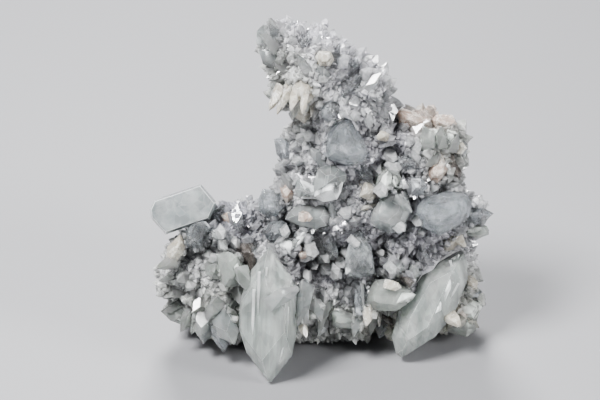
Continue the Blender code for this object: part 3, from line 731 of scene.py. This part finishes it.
# The pale green crystals: apophyllite in plates, leaves and fans, clouded with soft veils. They
# grow mostly low down, at the front and round the sides.
PALE_GREEN = {
    "shell_front": 70,
    "plate_front": 95,
    "fan_left": 20,
    "plate_rim_right": 80,
    "low_cluster_right": 120,
    "leaf_pair": 0,
    "pale_shoulder": 20,
    "bright_side_front": 100,
    "spear_left": -82,
    "drop_left_outer": 20,
    "back_left": -25,
}
green_finish = crystal_material(
    "pale_green_apophyllite",
    clear=(0.88, 0.93, 0.89),
    clouded=(0.98, 1.0, 0.97),
    transmission=0.85,
    roughness=(0.0, 0.08),
    cloud=4,
    glow=1.0,
    tint=(0.86, 0.95, 0.88, 8),
)
for node, heading in PALE_GREEN.items():
    grown_crystal(node, green_finish, heading, edge=0.1, white_edges=False)
green_veils = veil_material("pale_green_veils", (0.88, 0.92, 0.88), 6.0, 0.75)
veils_inside("pale_green_veils", list(PALE_GREEN), green_veils)


# The cream crystals: cloudier than the rest, so that little light passes. They sit singly among
# the clear ones, with one cluster of blades under the tower's overhang.
cream_finish = crystal_material(
    "cream_crystal",
    clear=(0.74, 0.69, 0.59),
    clouded=(0.93, 0.90, 0.82),
    transmission=0.45,
    roughness=(0.08, 0.35),
    cloud=3,
    glow=0.8,
)
for node in (
    "cream_left",
    "beige_right",
    "cream_flank_right",
    "cream_waist",
    "cream_oval",
    "cream_hexagon",
    "cream_cluster_tower",
):
    grown_crystal(node, cream_finish, white_edges=False)


# Stilbite: peach, pearly blades with fine lines along them, in small sheaves that grew between
# the crystals of the middle, the waist and the shoulder.
peach_finish = crystal_material(
    "peach_stilbite",
    clear=(0.68, 0.53, 0.45),
    clouded=(0.90, 0.83, 0.76),
    transmission=0.4,
    roughness=(0.1, 0.4),
    cloud=3,
    glow=0.8,
)
for node, heading in {
    "peach_blade_centre": 80,
    "brown_waist": 10,
    "peach_shoulder_left": 70,
    "peach_shoulder_right": 110,
    "brown_shoulder": 20,
}.items():
    grown_crystal(
        node, peach_finish, heading, pitch=0.5, depth=0.06, white_edges=False
    )


# The smoky crystals: brown, and clear enough to see into. Three show, on the left, the right
# and the shoulder, each wedged between paler ones.
smoky_finish = crystal_material(
    "smoky_crystal",
    clear=(0.26, 0.23, 0.21),
    clouded=(0.50, 0.46, 0.43),
    transmission=0.75,
    roughness=(0.0, 0.08),
    cloud=3,
    glow=0.3,
    tint=(0.55, 0.47, 0.4, 110),
)
for node in ("smoky_wedge_left", "smoky_flat_right", "smoky_shoulder"):
    grown_crystal(node, smoky_finish, white_edges=False)


# The bright growth ridges on the two large front crystals: narrow steps of the same apophyllite
# that stand a little proud of their faces and catch the light; their white, from the white edge
# material, is a painted highlight. Each is a slim crystal, sunk in.
SUNK_SHARE = 0.25  # of its length, in what carries it
SPARE = 0.1 * MM  # left free inside the specimen's box


def small_crystal(draw, length, blunt=0.0, steep=30, over_edges=True, oblique=0):
    """Corners and faces of a small crystal, one unit wide, with its root at the origin along Z."""
    solid = bmesh.new()
    bmesh.ops.create_cube(solid, size=1.0)
    bmesh.ops.scale(solid, verts=solid.verts, vec=(1, draw.uniform(0.7, 1), length))
    bmesh.ops.translate(solid, verts=solid.verts, vec=(0, 0, length / 2))
    ways = ((1, 1), (-1, 1), (-1, -1), (1, -1))
    if not over_edges:
        ways = ((1, 0), (0, 1), (-1, 0), (0, -1))
    steep = math.radians(steep)
    for across, along in ways:
        level = Vector((across, along, 0)).normalized()
        normal = level * math.cos(steep) + Vector((0, 0, math.sin(steep)))
        cut_off(solid, Vector((0, 0, length)) - normal * draw.uniform(0, 0.16), normal)
    if blunt:
        normal = Vector((draw.uniform(-0.2, 0.2), draw.uniform(-0.2, 0.2), 1)).normalized()
        cut_off(solid, Vector((0, 0, length - blunt)), normal)
    for _ in range(oblique):
        around = draw.uniform(0, math.tau)
        normal = Vector((math.cos(around), math.sin(around), draw.uniform(-0.3, 0.8))).normalized()
        cut_off(solid, Vector((0, 0, length * 0.55)) + normal * draw.uniform(0.22, 0.34), normal)
    bmesh.ops.recalc_face_normals(solid, faces=solid.faces)
    bmesh.ops.triangulate(solid, faces=solid.faces)
    solid.verts.index_update()
    corners = np.array([vert.co for vert in solid.verts], np.float32)
    faces = np.array([[vert.index for vert in face.verts] for face in solid.faces], np.int32)
    solid.free()
    return corners, faces


def joined_crystals(name, meshes, tones, material):
    """One mesh of many crystals' corners and faces, each with its own shade."""
    starts = np.cumsum([0] + [len(corners) for corners, _ in meshes])
    corners = np.concatenate([corners for corners, _ in meshes])
    faces = np.concatenate([faces + start for (_, faces), start in zip(meshes, starts)])
    mesh = bpy.data.meshes.new(name)
    mesh.from_pydata(corners.tolist(), [], faces.tolist())
    shades = np.repeat(np.array(tones, np.float32), [3 * len(f) for _, f in meshes], axis=0)
    shades *= np.repeat(np.random.default_rng(4).uniform(0.78, 1.15, (len(faces), 1)), 3, axis=0)
    add_piece(name, mesh, material, tones=shades)


def set_crystal(root_at, tip_at, width, lean, habit, draw):
    """A crystal with its root and its tip at places on the show side, rooted in what is there.

    It leans out towards the viewer by lean of the length that shows, and is left out where it
    would pass the specimen's box.
    """
    aim = (RIGHT * root_at[0] + UP * root_at[1]) * MM - EYE
    hit = whole_tree.ray_cast(EYE, aim.normalized())[0]
    if hit is None:
        return None
    across, up = (tip_at[i] - root_at[i] for i in (0, 1))
    length = math.hypot(across, up)
    axis = (RIGHT * across + UP * up + OUT * length * lean) * MM
    sunk = SUNK_SHARE * axis.length
    root = hit - axis.normalized() * sunk
    corners, faces = habit
    shape = np.array([width * MM, width * MM, (axis.length + sunk) / corners[:, 2].max()])
    turn = Vector((0, 0, 1)).rotation_difference(axis).to_matrix()
    turn = turn @ Matrix.Rotation(draw.uniform(0, math.tau), 3, "Z")
    placed = (corners * shape) @ np.array(turn).T + np.array(root)
    low, high = (np.array(corner) for corner in cad_box)
    if (placed < low + SPARE).any() or (placed > high - SPARE).any():
        return None
    return placed, faces


habit_draw = random.Random(3)
PRISM_HABITS = [
    small_crystal(habit_draw, length, blunt, oblique=oblique)
    for length, blunt, oblique in (
        (1.5, 0, 0),
        (1.9, 0, 1),
        (1.3, 0.12, 1),
        (1.6, 0.2, 0),
        (2.2, 0, 0),
        (1.2, 0.3, 1),
        (1.7, 0.05, 2),
        (1.4, 0.4, 1),
        (1.8, 0.1, 2),
    )
]
RIDGE_HABIT = PRISM_HABITS[4]
RIDGE_LEAN = 0.03
RIDGES = (  # root and tip (across, up) and width, in millimetres
    ((-20.4, 14.0), (-20.8, 2.5), 1.0),
    ((-16.2, 22.0), (-16.5, 13.0), 0.6),
    ((-18.7, 20.0), (-19.0, 9.0), 0.7),
    ((-15.8, 5.0), (-15.4, -2.0), 0.5),
    ((-14.0, -4.0), (-15.4, -9.0), 0.5),
    ((-12.3, -4.0), (-13.6, -11.0), 0.6),
    ((-10.8, -3.0), (-11.8, -7.0), 0.4),
    ((-17.6, -6.5), (-16.2, -11.0), 0.4),
    ((-9.0, 9.0), (-9.3, 1.0), 0.4),
    ((45.5, 25.0), (47.3, 18.5), 0.8),
    ((47.3, 18.0), (45.2, 14.0), 0.6),
    ((35.5, 22.8), (41.5, 26.5), 0.7),
    ((42.0, 26.8), (47.5, 30.2), 0.7),
    ((28.5, 7.0), (28.8, -3.0), 0.6),
)
draw = random.Random(8)
ridges = [set_crystal(*one, RIDGE_LEAN, RIDGE_HABIT, draw) for one in RIDGES]
ridges = [one for one in ridges if one is not None]
whites = [(1.0, 1.0, 1.0)] * len(ridges)
# Painted highlight: the ridges are drawn in the white edge material.
joined_crystals("growth_ridges", ridges, whites, wear_and_highlight_edge)


# Crystals smaller than the named ones that still stand out one by one, each rooted where it is
# seen. They have the finish of their kind. Root and tip are across and up in millimetres.
LEAN = 0.45
PLACED = {
    "milky": (milky_finish, "apophyllite_milky", (
        ((-13.5, 13.3), (-6, 17.5), 5.0),
        ((-3.2, 16.0), (-6.0, 5.0), 5.0),
        ((0.0, 11.5), (2.0, 6.5), 4.0),
        ((14.0, 7.0), (12.7, 1.0), 4.0),
        ((15.7, 17.5), (16.2, 9.0), 0.9),
        ((6.0, 27.7), (9.0, 24.5), 1.0),
        ((5.8, 44.2), (5.8, 40.0), 2.8),
        ((34.0, 38.0), (30.0, 32.0), 2.6),
        ((45.0, 52.6), (49.0, 51.3), 1.6),
        ((5.0, 70.5), (9.5, 74.0), 1.0),
        ((3.0, 88.0), (1.0, 94.0), 3.4),
        ((-3.0, 90.0), (-6.0, 95.0), 3.0),
        ((17.0, 84.0), (21.5, 88.5), 3.4),
        ((28.0, 46.5), (32.0, 43.0), 3.0),
        ((2.0, 60.0), (-1.5, 64.0), 3.4),
        ((-8.0, 52.0), (-11.5, 56.0), 3.4),
    )),
    "blue_grey": (blue_finish, "apophyllite_blue_grey", (
        ((-25.6, 40.6), (-25.0, 36.0), 4.0),
        ((-12.0, 100.0), (-15.0, 105.0), 3.0),
        ((-8.0, 100.0), (-9.0, 105.5), 2.8),
        ((-4.0, 98.0), (-2.0, 103.0), 3.0),
        ((6.0, 92.0), (8.0, 98.5), 3.4),
        ((12.0, 89.0), (14.0, 96.0), 3.4),
        ((10.0, 84.0), (15.0, 88.0), 4.0),
        ((22.0, 79.0), (25.0, 84.0), 3.0),
        ((15.5, 57.0), (19.0, 52.5), 3.6),
        ((24.0, 33.0), (27.0, 28.0), 3.0),
        ((35.0, 31.0), (38.0, 27.0), 3.0),
        ((-2.0, 26.0), (1.0, 22.0), 3.0),
        ((-33.0, 41.0), (-30.0, 45.0), 3.4),
        ((8.0, 21.0), (5.0, 25.0), 3.0),
        ((-1.0, 35.0), (2.6, 28.5), 5.0),
        ((3.5, 34.0), (7.0, 28.0), 4.6),
        ((-4.0, 30.0), (-1.0, 24.5), 4.6),
        ((1.5, 27.5), (4.0, 22.0), 4.4),
        ((-2.0, 25.0), (-3.5, 20.0), 4.0),
        ((6.0, 26.0), (8.0, 21.0), 4.0),
        ((-20.5, 30.5), (-17.5, 24.5), 4.0),
    )),
    "pale_green": (green_finish, "apophyllite_pale_green", (
        ((4.0, 12.0), (1.4, 1.5), 4.4),
        ((19.5, 7.0), (18.5, 1.5), 4.0),
        ((22.0, 7.0), (21.2, 1.2), 3.6),
        ((-48.0, 26.0), (-52.5, 24.3), 4.0),
        ((-47.5, 20.5), (-52.0, 20.0), 3.6),
        ((-46.0, 11.0), (-51.0, 9.5), 4.0),
        ((-42.0, 8.0), (-45.0, 3.0), 4.4),
        ((-37.0, 7.0), (-38.0, 1.5), 4.4),
        ((-33.0, 12.0), (-36.0, 7.0), 4.2),
        ((-14.0, 98.0), (-18.5, 101.5), 4.0),
        ((-11.0, 92.0), (-16.0, 95.5), 4.4),
        ((-6.0, 79.0), (-7.6, 73.5), 3.0),
        ((-12.0, 77.0), (-15.0, 74.5), 2.8),
        ((38.0, 66.0), (36.0, 71.0), 4.0),
        ((42.0, 66.0), (42.0, 71.0), 4.0),
        ((46.0, 64.0), (48.0, 68.5), 3.6),
        ((40.0, 61.0), (37.0, 58.0), 4.0),
        ((-26.0, 15.0), (-29.0, 10.0), 4.4),
        ((-24.5, 17.0), (-22.6, 9.5), 5.0),
        ((-25.5, 11.0), (-23.2, 3.5), 5.0),
        ((-24.0, 5.0), (-22.6, -1.5), 4.4),
        ((-28.0, 14.0), (-28.4, 7.0), 4.4),
        ((-24.5, 22.0), (-21.6, 16.0), 4.4),
        ((8.0, 10.0), (9.5, 5.0), 4.0),
    )),
    "cream": (cream_finish, "cream_crystal", (
        ((-4.0, 4.0), (-2.8, 1.0), 2.6),
        ((18.0, 10.0), (17.0, 5.0), 3.4),
        ((21.0, 9.0), (21.5, 4.5), 2.4),
        ((24.5, 18.5), (28.5, 17.5), 3.0),
        ((16.5, 44.0), (20.5, 45.5), 1.6),
        ((48.0, 33.5), (50.0, 31.0), 3.0),
        ((45.0, 8.0), (48.0, 4.5), 4.4),
        ((-15.0, 82.5), (-17.3, 79.0), 2.6),
        ((-12.0, 83.5), (-14.5, 78.5), 2.8),
        ((-9.0, 83.0), (-11.0, 77.5), 2.8),
        ((-6.5, 81.5), (-8.0, 76.5), 2.6),
        ((-3.5, 80.5), (-4.3, 75.5), 2.6),
        ((-11.0, 80.0), (-12.5, 75.5), 2.6),
        ((-13.5, 80.0), (-15.3, 76.5), 2.4),
        ((-1.0, 78.5), (-1.5, 74.5), 2.4),
        ((17.0, 53.0), (18.0, 48.0), 4.0),
        ((48.0, 64.0), (50.5, 64.0), 4.0),
    )),
    "peach": (peach_finish, "peach_stilbite", (
        ((-4.0, 41.3), (-0.8, 40.7), 3.0),
        ((-29.6, 41.0), (-27.4, 38.6), 3.0),
        ((48.0, 10.0), (50.0, 7.0), 3.0),
        ((41.0, 60.0), (42.0, 55.5), 3.6),
        ((-22.5, 29.3), (-20.8, 28.3), 1.2),
    )),
    "smoky": (smoky_finish, "smoky_crystal", (
        ((-22.5, 29.5), (-23.2, 23.5), 6.0),
        ((22.5, 8.5), (26.0, 5.0), 4.0),
        ((45.0, 60.0), (46.5, 55.5), 3.4),
    )),
}
for kind, (finish, slot, seen) in PLACED.items():
    draw = random.Random(kind)
    found = [set_crystal(*one, LEAN, draw.choice(PRISM_HABITS), draw) for one in seen]
    found = [one for one in found if one is not None]
    joined_crystals(f"{kind}_small", found, [(1.0, 1.0, 1.0)] * len(found), finish)


# The coat of short prisms, clear and clouded apophyllite, that covers the rock wherever a larger
# crystal leaves room, and gathers round the roots of the larger ones. Each is rooted in the
# rock and grows outwards, and none stands in front of a crystal that stands clear.
def surface_samples(nodes, count, seed):
    """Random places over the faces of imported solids, and the way each faces."""
    draw = np.random.default_rng(seed)
    sides, facings, sizes = [], [], []
    for node in nodes:
        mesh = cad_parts[node].data
        mesh.calc_loop_triangles()
        corners = np.array([vert.co for vert in mesh.vertices])
        triangles = corners[np.array([tri.vertices for tri in mesh.loop_triangles])]
        normals = np.cross(triangles[:, 1] - triangles[:, 0], triangles[:, 2] - triangles[:, 0])
        sides.append(triangles)
        facings.append(normals)
        sizes.append(np.linalg.norm(normals, axis=1))
    sides, facings, sizes = (np.concatenate(found) for found in (sides, facings, sizes))
    facings = facings / np.maximum(sizes, 1e-12)[:, None]
    chosen = draw.choice(len(sides), size=count, p=sizes / sizes.sum())
    u, v = np.sort(draw.random((2, count)), axis=0)
    shares = np.stack([u, v - u, 1 - v], axis=1)
    return np.einsum("nk,nkc->nc", shares, sides[chosen]), facings[chosen]


STAND_CLEAR = [
    "crystal_front_left",
    "crystal_front_right",
    "block_left",
    "milky_waist",
    "gem_right",
    "teardrop_centre",
    "glassy_waist",
    "grey_right",
    "grey_left_middle",
    "milky_centre",
    "plate_front",
    "smoky_wedge_left",
]
clear_tree = solid_tree(STAND_CLEAR)
IN_FRONT = 14 * MM
NEAR_A_CRYSTAL = 12 * MM
CLEFT_FROM = 0.45  # the openness below which a place counts as a cleft
FACE_PULL = 0.35  # how much a crystal follows the face under it, over the lie of the rock there
FLATTEST = 0.05
OFF_THE_FLOOR = 0.6  # in its own widths
FREE_GAP = 0.2  # in its own widths, from its tip to a larger crystal
BOX_EDGE = 0.2 * MM
WAY_SAMPLES = 3000
way_places, way_facings = surface_samples(["matrix"], WAY_SAMPLES, 7)
way_tree = KDTree(WAY_SAMPLES)
for index, place in enumerate(way_places):
    way_tree.insert(place, index)
way_tree.balance()


def growing_way(place, reach=8 * MM):
    """The way out of the rock around a place, smoothed over its bumps."""
    found = [way_facings[index] for _, index, _ in way_tree.find_range(place, reach)]
    return Vector(np.sum(found, axis=0)).normalized() if found else None


def coat(
    name,
    habits,
    tries,
    spacing,
    width,
    splay,
    sink,
    material,
    seed,
    nodes=("matrix",),
    shut=1.0,
    deeper=0.0,
):
    """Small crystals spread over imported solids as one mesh, each a turned and sized habit.

    They keep spacing between their roots, and stand only where the surface is less open than
    shut, so that a coat can stay around the roots of the larger crystals. Deep in a cleft they
    grow larger by deeper, towards the light.
    """
    draw = random.Random(seed)
    places, facings = surface_samples(nodes, tries, seed)
    low, high = cad_box
    cells, meshes, tones = {}, [], []
    for place, facing in zip(places, facings):
        place, facing = Vector(place), Vector(facing)
        cell = tuple(int(c // spacing) for c in place)
        near = [
            other
            for dx in (-1, 0, 1)
            for dy in (-1, 0, 1)
            for dz in (-1, 0, 1)
            for other in cells.get((cell[0] + dx, cell[1] + dy, cell[2] + dz), ())
        ]
        if any((place - other).length < spacing for other in near):
            continue
        way = growing_way(place)
        if way is None:
            continue
        axis = way + facing * FACE_PULL + Vector([draw.uniform(-splay, splay) for _ in range(3)])
        axis.normalize()
        if facing.dot(axis) < FLATTEST:
            continue
        light = openness(place + facing * 0.3 * width[0], facing, reach=10 * MM, rays=10)
        if light > shut:
            continue
        wide = width[0] + (width[1] - width[0]) * draw.random() ** 1.6
        wide *= 1 + deeper * max(0, CLEFT_FROM - light)
        corners, faces = draw.choice(habits)
        root = place - axis * wide * sink
        tip = root + axis * wide * corners[:, 2].max()
        if min(tip.z, root.z) < wide * OFF_THE_FLOOR:
            continue
        if any(not l + BOX_EDGE <= t <= h - BOX_EDGE for t, l, h in zip(tip, low, high)):
            continue
        if clear_tree.ray_cast(tip, -OUT, IN_FRONT)[0] is not None:
            continue
        hit, out, _, gap = crystal_tree.find_nearest(tip, NEAR_A_CRYSTAL)
        if hit is not None and ((tip - hit).dot(out) < 0 or gap < wide * FREE_GAP):
            continue
        cells.setdefault(cell, []).append(place)
        turn = Vector((0, 0, 1)).rotation_difference(axis).to_matrix()
        turn = turn @ Matrix.Rotation(draw.uniform(0, math.tau), 3, "Z")
        meshes.append((corners @ (np.array(turn).T * wide) + np.array(root), faces))
        # Painted shade: the zone's tint, darker the less open the place is, times a random factor.
        tones.append(tint_with_painted_shade(place, light) * draw.uniform(0.8, 1.15))
    joined_crystals(name, meshes, tones, material)


small_finish = crystal_material(
    "small_apophyllite",
    clear=(0.74, 0.76, 0.76),
    clouded=(1.0, 1.0, 1.0),
    transmission=0.62,
    roughness=(0.0, 0.08),
    cloud=2,
    glow=0.8,
)
coat(
    "small_crystals",
    PRISM_HABITS,
    tries=60000,
    spacing=2.3 * MM,
    width=(2.2 * MM, 4.8 * MM),
    splay=0.6,
    sink=0.85,
    material=small_finish,
    seed=22,
)
coated = [node for node in single_crystals if node not in STAND_CLEAR]
coat(
    "crystals_at_roots",
    PRISM_HABITS,
    tries=60000,
    spacing=1.8 * MM,
    width=(1.3 * MM, 3.4 * MM),
    splay=0.6,
    sink=0.6,
    material=small_finish,
    seed=23,
    nodes=coated,
    shut=0.5,
)


# The prisms that fill the deep clefts of the show side, of the same apophyllite. They are rooted
# at the bottom of the cleft and stand far out of it, towards the light.
FORWARD = (  # root and tip (across, up) and width in millimetres, and how far it leans out
    ((1.0, 31.0), (2.5, 28.0), 4.6, 3.0),
    ((5.0, 30.0), (4.5, 27.0), 4.6, 3.0),
    ((-1.0, 26.0), (0.5, 24.0), 4.4, 4.0),
    ((3.0, 24.5), (4.5, 22.5), 4.4, 4.0),
    ((8.5, 26.5), (9.0, 24.0), 4.4, 3.0),
    ((-3.0, 22.0), (-2.0, 20.0), 4.0, 4.0),
    ((20.0, 57.0), (21.5, 55.0), 4.4, 3.0),
    ((25.0, 62.0), (26.5, 60.0), 4.4, 3.0),
    ((22.0, 50.0), (23.5, 48.5), 4.0, 3.0),
    ((26.0, 57.5), (27.5, 56.0), 4.0, 3.0),
    ((-23.0, 46.0), (-22.0, 44.5), 3.6, 3.0),
    ((-31.0, 32.0), (-30.0, 30.5), 3.6, 3.0),
    ((-36.0, 29.0), (-35.0, 27.5), 3.6, 3.0),
    ((13.0, 33.0), (14.0, 31.5), 3.6, 3.0),
    ((28.0, 38.0), (29.0, 36.5), 3.6, 3.0),
    ((2.0, 28.5), (3.5, 26.0), 5.0, 5.0),
    ((6.0, 23.5), (7.5, 21.5), 4.6, 5.0),
    ((-1.5, 30.0), (-0.5, 28.0), 4.4, 5.0),
    ((9.5, 30.0), (10.5, 28.0), 4.0, 4.0),
    ((26.5, 29.0), (27.5, 27.0), 4.4, 4.0),
    ((25.5, 24.0), (26.5, 22.5), 4.0, 4.0),
    ((-31.5, 36.0), (-30.5, 34.5), 3.6, 4.0),
    ((-27.0, 33.0), (-26.0, 31.5), 3.6, 4.0),
    ((21.5, 30.0), (22.3, 28.5), 3.6, 4.0),
    ((22.0, 26.5), (22.8, 25.0), 3.6, 4.0),
    ((21.5, 23.5), (22.3, 22.0), 3.4, 4.0),
    ((-10.0, 36.5), (-9.5, 35.0), 3.4, 4.0),
    ((34.0, 40.0), (34.8, 38.5), 3.2, 4.0),
    ((35.0, 36.5), (35.8, 35.2), 3.2, 4.0),
)
draw = random.Random(9)
found = [set_crystal(*one, draw.choice(PRISM_HABITS), draw) for one in FORWARD]
found = [one for one in found if one is not None]
whites = [(1.0, 1.0, 1.0)] * len(found)
joined_crystals("cleft_crystals", found, whites, small_finish)


# The druse: the finest crystals, pointed grains a millimetre or two wide that sit close together
# over the whole rock and in the seams round the larger crystals. In the clefts they are larger.
GRAIN_HABITS = [
    small_crystal(habit_draw, length, 0, steep, over_edges=False)
    for length, steep in ((1.3, 35), (1.6, 28), (1.1, 45), (1.9, 24), (1.4, 50))
]
fine_finish = crystal_material(
    "druse_fine",
    clear=(0.74, 0.74, 0.76),
    clouded=(1.0, 1.0, 1.0),
    transmission=0.48,
    roughness=(0.0, 0.08),
    cloud=2,
    glow=0.0,
)
coat(
    "druse_fine",
    GRAIN_HABITS,
    tries=90000,
    spacing=1.2 * MM,
    width=(0.9 * MM, 2.1 * MM),
    splay=0.5,
    sink=0.5,
    material=fine_finish,
    seed=21,
    deeper=2.2,
)
coat(
    "druse_at_roots",
    GRAIN_HABITS,
    tries=60000,
    spacing=0.9 * MM,
    width=(0.6 * MM, 1.4 * MM),
    splay=0.5,
    sink=0.4,
    material=fine_finish,
    seed=24,
    nodes=coated,
    shut=0.3,
)
